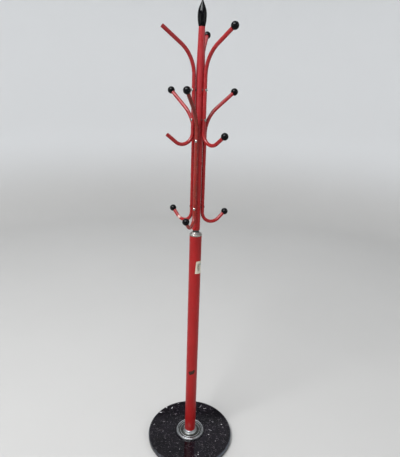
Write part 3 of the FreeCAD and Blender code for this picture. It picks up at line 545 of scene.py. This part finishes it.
def sticker():
    """The paper label: a thin closed sheet on the post, set on slightly askew, its upper left corner rounded and lifting."""
    nu, nv = 48, 40
    bm = bmesh.new()
    z0, z1, r0 = 0.7990, 0.8500, 0.02302
    layers = []
    for side in (0, 1):
        grid = []
        for j in range(nv + 1):
            t = j / nv
            row = []
            for i in range(nu + 1):
                s = i / nu
                left = 3.2 + 9.0 * t
                right = 79.0 + 5.0 * t
                az = left + (right - left) * s
                z = z0 + (z1 - z0) * t - 0.0026 * s
                # ragged, softly rounded outline
                edge_v = min(t, 1 - t)
                edge_u = min(s, 1 - s)
                wob = noise.noise(Vector((s * 9.0, t * 9.0, 1.7)))
                if edge_u < 0.02:
                    az += 0.9 * noise.noise(Vector((3.0, t * 14.0, 0.4)))
                if edge_v < 0.02:
                    z += 0.00035 * noise.noise(Vector((s * 14.0, 5.0, 0.9)))
                # rounded corners
                for (cs, ct) in ((0, 1), (1, 1), (0, 0), (1, 0)):
                    ds, dt = abs(s - cs) * 0.031, abs(t - ct) * 0.0515
                    big = 0.0042 if (cs, ct) == (0, 1) else 0.0016
                    if ds < big and dt < big:
                        dx, dy = big - ds, big - dt
                        d = math.hypot(dx, dy)
                        if d > big:
                            k = big / d
                            az += (1 if cs == 0 else -1) * math.degrees((dx - dx * k) / 0.023)
                            z += (-1 if ct == 1 else 1) * (dy - dy * k)
                corner = max(0.0, 1.0 - math.hypot(s * 0.031, (1 - t) * 0.0515) / 0.0125)
                lift = 0.0011 * corner ** 1.7
                low = max(0.0, 1.0 - math.hypot((1 - s) * 0.031, t * 0.0515) / 0.010)
                lift += 0.00055 * low ** 1.6
                bubble = 0.00009 * max(0.0, wob) * min(1.0, 12 * edge_u) * min(1.0, 12 * edge_v)
                r = r0 + 0.00002 + lift + bubble + (0.00013 if side else 0.0)
                a = math.radians(az)
                row.append(bm.verts.new((r * math.sin(a), -r * math.cos(a), z)))
            grid.append(row)
        layers.append(grid)
    inner, outer = layers
    for j in range(nv):
        for i in range(nu):
            bm.faces.new((outer[j][i], outer[j][i + 1], outer[j + 1][i + 1], outer[j + 1][i]))
            bm.faces.new((inner[j][i], inner[j + 1][i], inner[j + 1][i + 1], inner[j][i + 1]))
    for i in range(nu):
        bm.faces.new((inner[0][i], inner[0][i + 1], outer[0][i + 1], outer[0][i]))
        bm.faces.new((inner[nv][i + 1], inner[nv][i], outer[nv][i], outer[nv][i + 1]))
    for j in range(nv):
        bm.faces.new((inner[j + 1][0], inner[j][0], outer[j][0], outer[j + 1][0]))
        bm.faces.new((inner[j][nu], inner[j + 1][nu], outer[j + 1][nu], outer[j][nu]))
    bmesh.ops.recalc_face_normals(bm, faces=bm.faces)
    return new_piece("paper_sticker", bm, "base", "cream_paper", ["paper_label"])


sticker()


def lathe(name, profile, body, slot, replaced, n=160, sharp=40.0):
    """Closed ring turned from a closed outline of (radius, height) in millimetres, given anticlockwise."""
    bm = bmesh.new()
    rings = []
    for r, z in profile:
        rings.append([bm.verts.new((r * MM * math.cos(2 * math.pi * i / n), r * MM * math.sin(2 * math.pi * i / n), z * MM)) for i in range(n)])
    for a, b in zip(rings, rings[1:] + rings[:1]):
        for i in range(n):
            bm.faces.new((a[i], a[(i + 1) % n], b[(i + 1) % n], b[i]))
    bmesh.ops.recalc_face_normals(bm, faces=bm.faces)
    return new_piece(name, bm, body, slot, replaced, sharp)


def bead(r, z, half, rise, steps=8):
    """Points of a half-round raised ring, from its outer side to its inner side."""
    return [(r + half * math.cos(math.pi * k / steps), z + rise * math.sin(math.pi * k / steps)) for k in range(steps + 1)]


def fillet(points, rounds=2):
    """Cuts the corners of an open outline twice, so that a spun edge catches the light softly."""
    for _ in range(rounds):
        out = [points[0]]
        for p, q in zip(points, points[1:]):
            out.append((p[0] * 0.75 + q[0] * 0.25, p[1] * 0.75 + q[1] * 0.25))
            out.append((p[0] * 0.25 + q[0] * 0.75, p[1] * 0.25 + q[1] * 0.75))
        out.append(points[-1])
        points = out
    return points


# spun flange: skirt, rolled rim, groove, two raised rings and a flat deck
rim = fillet([(60.48, 21.0), (60.48, 24.2), (60.1, 26.8), (58.9, 29.0), (57.0, 29.45), (55.2, 29.1), (53.9, 27.7), (53.2, 26.3), (52.6, 25.9)])
deck = rim + bead(50.9, 25.9, 1.15, 0.85) + [(48.4, 25.6), (47.2, 25.45), (44.9, 25.5), (43.6, 25.7)] + bead(42.0, 25.8, 1.05, 0.62) + [(40.2, 25.72), (36.0, 25.75), (23.5, 25.75)]
under = [(23.5, 24.6), (52.6, 24.6), (55.4, 27.4), (57.4, 27.2), (58.9, 24.0), (59.1, 21.0)]
lathe("spun_flange", deck + under, "base", "chrome_trim", ["base_flange"])

# flared ring round the post's foot
flare = fillet([(34.0, 25.8), (34.0, 26.5), (32.6, 27.1), (31.2, 27.7), (29.6, 29.4), (28.2, 31.9), (27.1, 34.6), (26.2, 37.0), (25.3, 38.7), (24.3, 38.95), (23.5, 38.95)])
lathe("flared_ring", flare + [(23.5, 25.8)], "base", "chrome_trim", ["post_foot_ring"])


# ------------------------------------------------------------------ stage, light, camera
def stage_bowl():
    """Plain pale floor that sweeps up into a round pale wall, the same from every side."""
    g = Graph("pale_stage", rough=0.9, spec=0.2)
    floor = g.mix(g.noise(1.3, 3.0, 0.5), (0.545, 0.535, 0.520), (0.580, 0.570, 0.555))
    z = g.xyz()[2]
    tone = g.mix(g.step(z, 0.05, 0.9), floor, (0.76, 0.765, 0.77))
    tone = g.mix(g.step(z, 2.9, 3.6), tone, (0.11, 0.115, 0.12))
    g.set(color=tone, normal=g.bump(g.noise(160.0, 3.0, 0.6), 0.08, 0.001))
    profile = [(0.0, 0.0)]
    r_flat, bend, height = 3.3, 1.1, 4.10
    for r in (0.4, 0.8, 1.4, 2.2, r_flat):
        profile.append((r, 0.0))
    for i in range(1, 17):
        a = math.pi / 2 * i / 16
        profile.append((r_flat + bend * math.sin(a), bend * (1 - math.cos(a))))
    profile.append((r_flat + bend, height))
    bm = bmesh.new()
    n = 96
    rings = []
    for r, z in profile[1:]:
        rings.append([bm.verts.new((r * math.cos(2 * math.pi * i / n), r * math.sin(2 * math.pi * i / n), z)) for i in range(n)])
    centre = bm.verts.new((0, 0, 0))
    for i in range(n):
        bm.faces.new((centre, rings[0][i], rings[0][(i + 1) % n]))
    for a, b in zip(rings, rings[1:]):
        for i in range(n):
            bm.faces.new((a[i], b[i], b[(i + 1) % n], a[(i + 1) % n]))
    mesh = bpy.data.meshes.new("stage_floor")
    bm.normal_update()
    bm.to_mesh(mesh)
    bm.free()
    for p in mesh.polygons:
        p.use_smooth = True
    mesh.materials.append(g.mat)
    o = bpy.data.objects.new("stage_floor", mesh)
    bpy.context.scene.collection.objects.link(o)


def softbox(name, place, aim, size, radiance, colour=(1, 1, 1)):
    data = bpy.data.lights.new(name, "AREA")
    data.shape = "RECTANGLE"
    data.size, data.size_y = size
    data.energy = radiance * math.pi * size[0] * size[1]
    data.color = colour
    o = bpy.data.objects.new(name, data)
    o.location = place
    o.rotation_mode = "QUATERNION"
    o.rotation_quaternion = (Vector(aim) - Vector(place)).to_track_quat("-Z", "Y")
    o.visible_camera = False
    bpy.context.scene.collection.objects.link(o)
    return o


stage_bowl()
softbox("key_soft", (-1.9, -2.1, 4.3), (0, 0, 0.9), (1.9, 1.6), 18.0, (0.97, 0.985, 1.0))
softbox("low_soft", (-2.7, -2.0, 1.6), (0, 0, 0.7), (1.4, 1.4), 2.3, (1.0, 0.985, 0.97))
softbox("fill_soft", (2.7, -1.4, 2.2), (0, 0, 0.9), (1.5, 1.9), 1.7, (1.0, 0.985, 0.97))
softbox("back_soft", (0.5, 1.9, 4.0), (0, 0, 0.8), (2.2, 1.2), 1.6, (0.97, 0.985, 1.0))
window = softbox("window_soft", (-1.0, -2.2, 4.2), (0, 0, 1.2), (3.4, 2.2), 11.0, (0.95, 0.98, 1.0))
window.visible_diffuse = False
softbox("rim_soft", (-1.5, 1.2, 4.4), (0, 0, 1.2), (1.1, 1.1), 6.0, (0.97, 0.985, 1.0))

world = bpy.data.worlds.new("pale_world")
bpy.context.scene.world = world
world.use_nodes = True
bg = world.node_tree.nodes["Background"]
bg.inputs["Color"].default_value = (0.90, 0.95, 1.0, 1.0)
bg.inputs["Strength"].default_value = 0.45

PITCH, ROLL, YAW = math.radians(18.601), math.radians(1.904), math.radians(0.611)
forward = Vector((math.cos(PITCH) * math.sin(YAW), math.cos(PITCH) * math.cos(YAW), -math.sin(PITCH)))
right = Vector((math.cos(YAW), -math.sin(YAW), 0.0))
up = Vector((math.sin(PITCH) * math.sin(YAW), math.sin(PITCH) * math.cos(YAW), math.cos(PITCH)))
r2 = math.cos(ROLL) * right + math.sin(ROLL) * up
u2 = math.cos(ROLL) * up - math.sin(ROLL) * right
cam = bpy.data.cameras.new("photo_camera")
cam.sensor_width = 36.0
cam.sensor_fit = "AUTO"
cam.lens = 405.48 * 36.0 / 457.0
cam.clip_start, cam.clip_end = 0.05, 60.0
cam_obj = bpy.data.objects.new("photo_camera", cam)
bpy.context.scene.collection.objects.link(cam_obj)
m = Matrix((
    (r2.x, u2.x, -forward.x, 0.0),
    (r2.y, u2.y, -forward.y, -1.4334),
    (r2.z, u2.z, -forward.z, 1.4568),
    (0.0, 0.0, 0.0, 1.0),
))
cam_obj.matrix_world = m
bpy.context.scene.camera = cam_obj

scene = bpy.context.scene
scene.view_settings.view_transform = "Standard"
scene.view_settings.look = "None"
scene.view_settings.exposure = 0.0
scene.view_settings.gamma = 1.0
